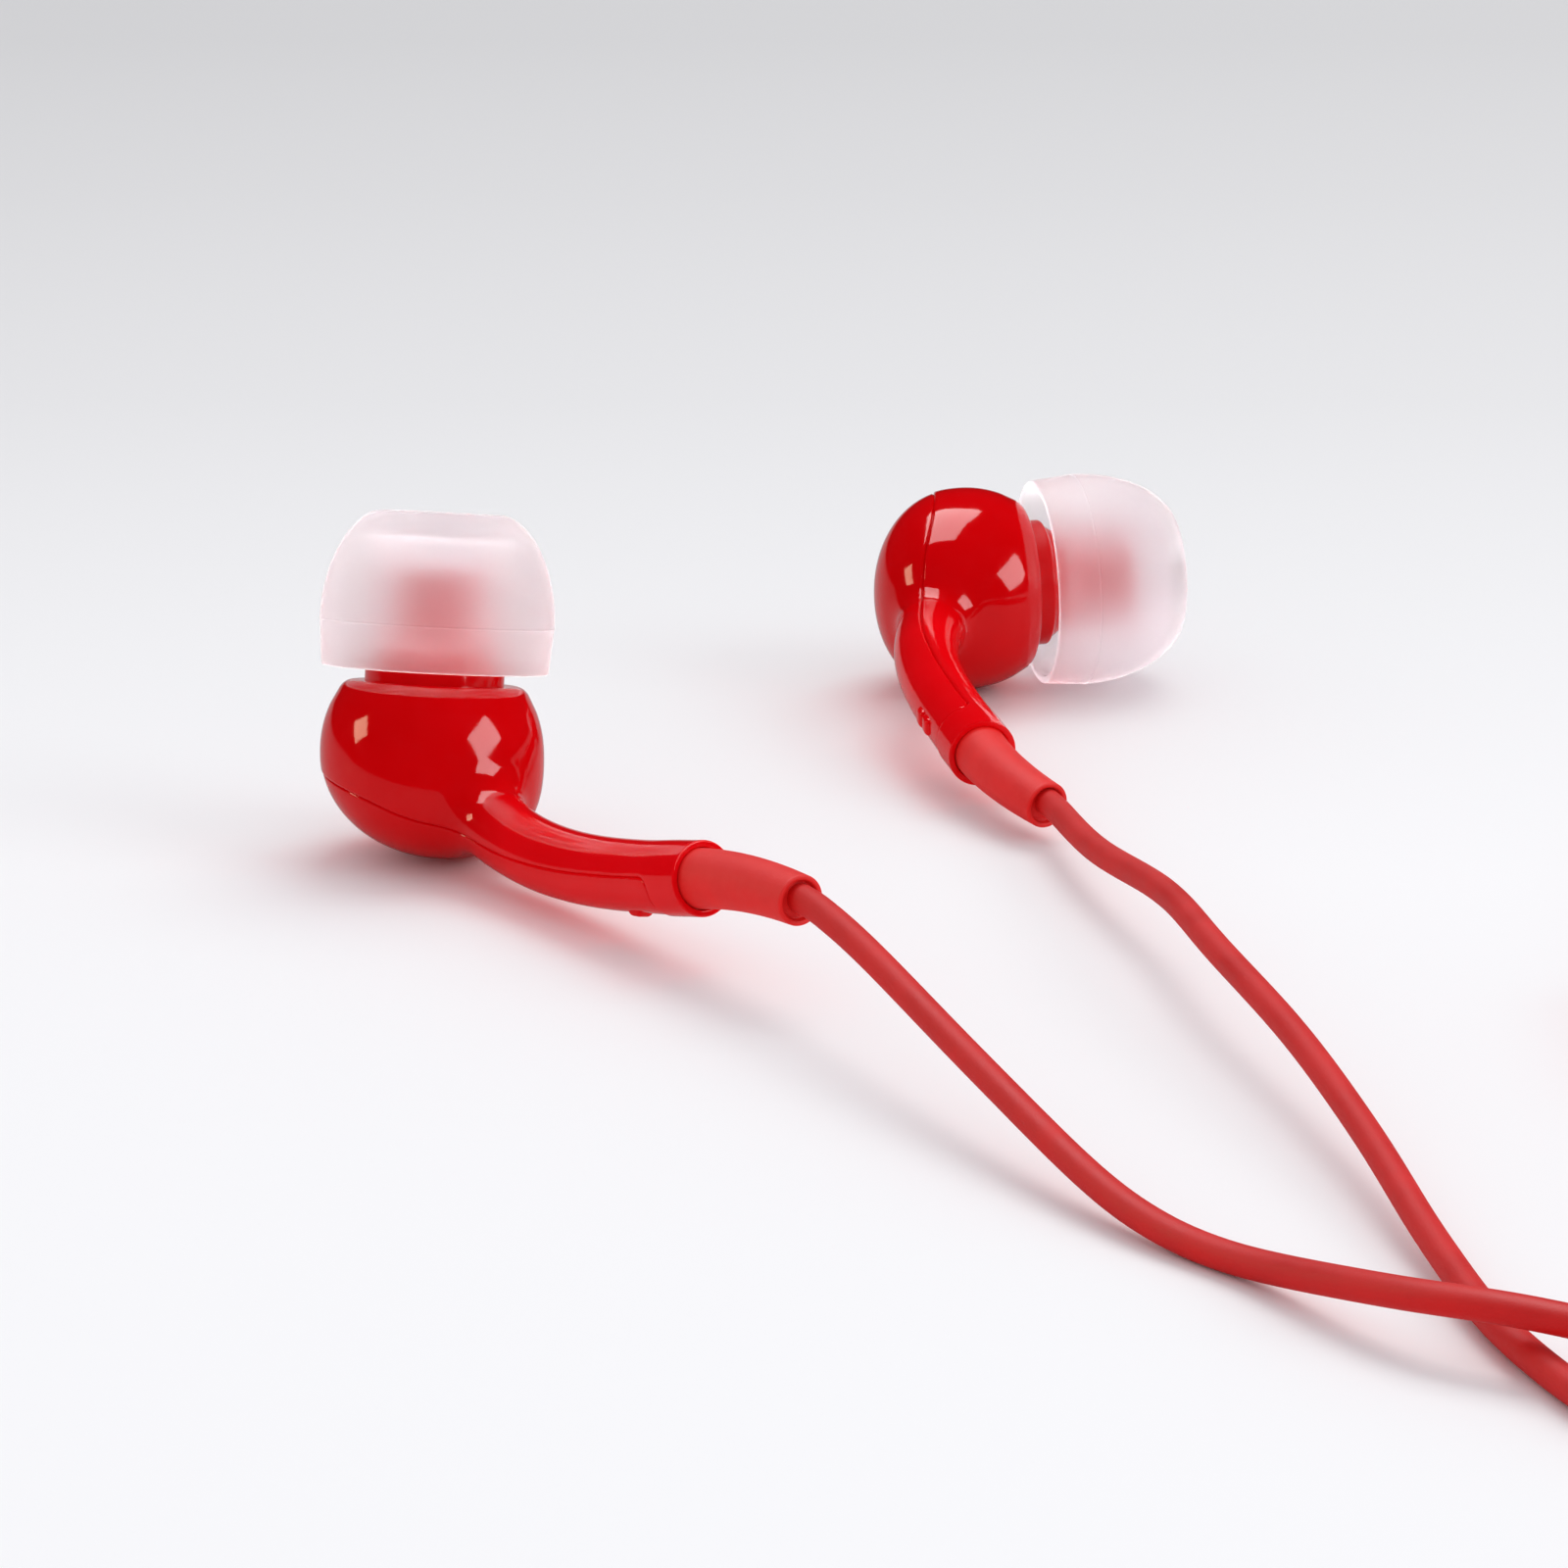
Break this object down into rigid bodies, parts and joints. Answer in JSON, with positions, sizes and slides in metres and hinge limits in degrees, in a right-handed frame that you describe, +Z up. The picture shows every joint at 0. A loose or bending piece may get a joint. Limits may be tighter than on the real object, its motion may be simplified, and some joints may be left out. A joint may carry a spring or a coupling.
{
  "type": "wired earphones",
  "caption": "Wired in-ear earphones with angled housings, silicone ear tips, cable slider, Y-splitter, coiled cable and a straight three-contact plug.",
  "frame": {"origin": "bottom centre of the layout's box, on the table plane", "axes": "+Z up from the table; +Y away from the viewer, along the coil's long side; +X towards the coil"},
  "size_m": [0.1276, 0.1326, 0.0188],
  "materials": {
    "gloss_red": "glossy moulded ABS",
    "matte_red": "matte elastomer cable jacket and sleeve",
    "silicone": "frosted translucent silicone",
    "steel": "satin",
    "nickel": "nickel plated",
    "magnet": "plated neodymium, satin",
    "film": "thin polyester film",
    "copper": "enamelled copper wire",
    "green_enamel": "enamelled wire",
    "board": "glass-epoxy board with solder mask",
    "felt": "damping felt and foam",
    "black_plastic": "matte moulded",
    "grey_plastic": "matte moulded"
  },
  "bodies": {
    "cable_set": {"left_branch_cable": "matte_red", "main_cable": "matte_red", "plug_boot": "gloss_red", "plug_core": "grey_plastic", "plug_front_insulator": "black_plastic", "plug_ground_contact": "nickel", "plug_rear_insulator": "black_plastic", "plug_ring_contact": "nickel", "plug_tip_contact": "nickel", "right_branch_cable": "matte_red", "splitter_bottom": "gloss_red", "splitter_top": "gloss_red"},
    "left_earpiece": {"left_cable_crimp": "steel", "left_cable_tail": "matte_red", "left_driver_cover": "steel", "left_driver_frame": "black_plastic", "left_front_shell": "gloss_red", "left_ground_wire": "green_enamel", "left_magnet": "magnet", "left_nozzle_foam": "felt", "left_nozzle_screen": "steel", "left_rear_felt": "felt", "left_rear_shell": "gloss_red", "left_signal_wire": "copper", "left_strain_relief": "matte_red", "left_terminal_board": "board", "left_top_plate": "steel", "left_yoke": "steel"},
    "left_tip": {"left_ear_tip": "silicone"},
    "left_coil": {"left_diaphragm": "film", "left_voice_coil": "copper"},
    "right_earpiece": {"right_cable_crimp": "steel", "right_cable_tail": "matte_red", "right_driver_cover": "steel", "right_driver_frame": "black_plastic", "right_front_shell": "gloss_red", "right_ground_wire": "green_enamel", "right_magnet": "magnet", "right_nozzle_foam": "felt", "right_nozzle_screen": "steel", "right_rear_felt": "felt", "right_rear_shell": "gloss_red", "right_signal_wire": "copper", "right_strain_relief": "matte_red", "right_terminal_board": "board", "right_top_plate": "steel", "right_yoke": "steel"},
    "right_tip": {"right_ear_tip": "silicone"},
    "right_coil": {"right_diaphragm": "film", "right_voice_coil": "copper"},
    "slider": {"cable_slider": "gloss_red"}
  },
  "joints": [
    {"name": "left_earpiece_flex", "type": "hinge", "parent": "cable_set", "child": "left_earpiece", "pos_m": [-0.03812, -0.0024, 0.0057], "axis": [0, 0, 1], "range_deg": [-25, 25], "stiffness_Nm_per_rad": 0.0006},
    {"name": "right_earpiece_flex", "type": "hinge", "parent": "cable_set", "child": "right_earpiece", "pos_m": [-0.02475, 0.02625, 0.00206], "axis": [0, 0, 1], "range_deg": [-25, 25], "stiffness_Nm_per_rad": 0.0006},
    {"name": "left_tip_slide", "type": "slide", "parent": "left_earpiece", "child": "left_tip", "axis": [0.052, 0.221, 0.9739], "range_m": [0, 0.007], "stiffness_N_per_m": 5},
    {"name": "right_tip_slide", "type": "slide", "parent": "right_earpiece", "child": "right_tip", "axis": [0.9822, 0.186, 0.027], "range_m": [0, 0.007], "stiffness_N_per_m": 5},
    {"name": "left_coil_travel", "type": "slide", "parent": "left_earpiece", "child": "left_coil", "axis": [0.052, 0.221, 0.9739], "range_m": [-0.00015, 0.00015], "stiffness_N_per_m": 1},
    {"name": "right_coil_travel", "type": "slide", "parent": "right_earpiece", "child": "right_coil", "axis": [0.9822, 0.186, 0.027], "range_m": [-0.00015, 0.00015], "stiffness_N_per_m": 1},
    {"name": "slider_travel", "type": "slide", "parent": "cable_set", "child": "slider", "axis": [0, 1, 0], "range_m": [-0.004, 0.036]}
  ]
}
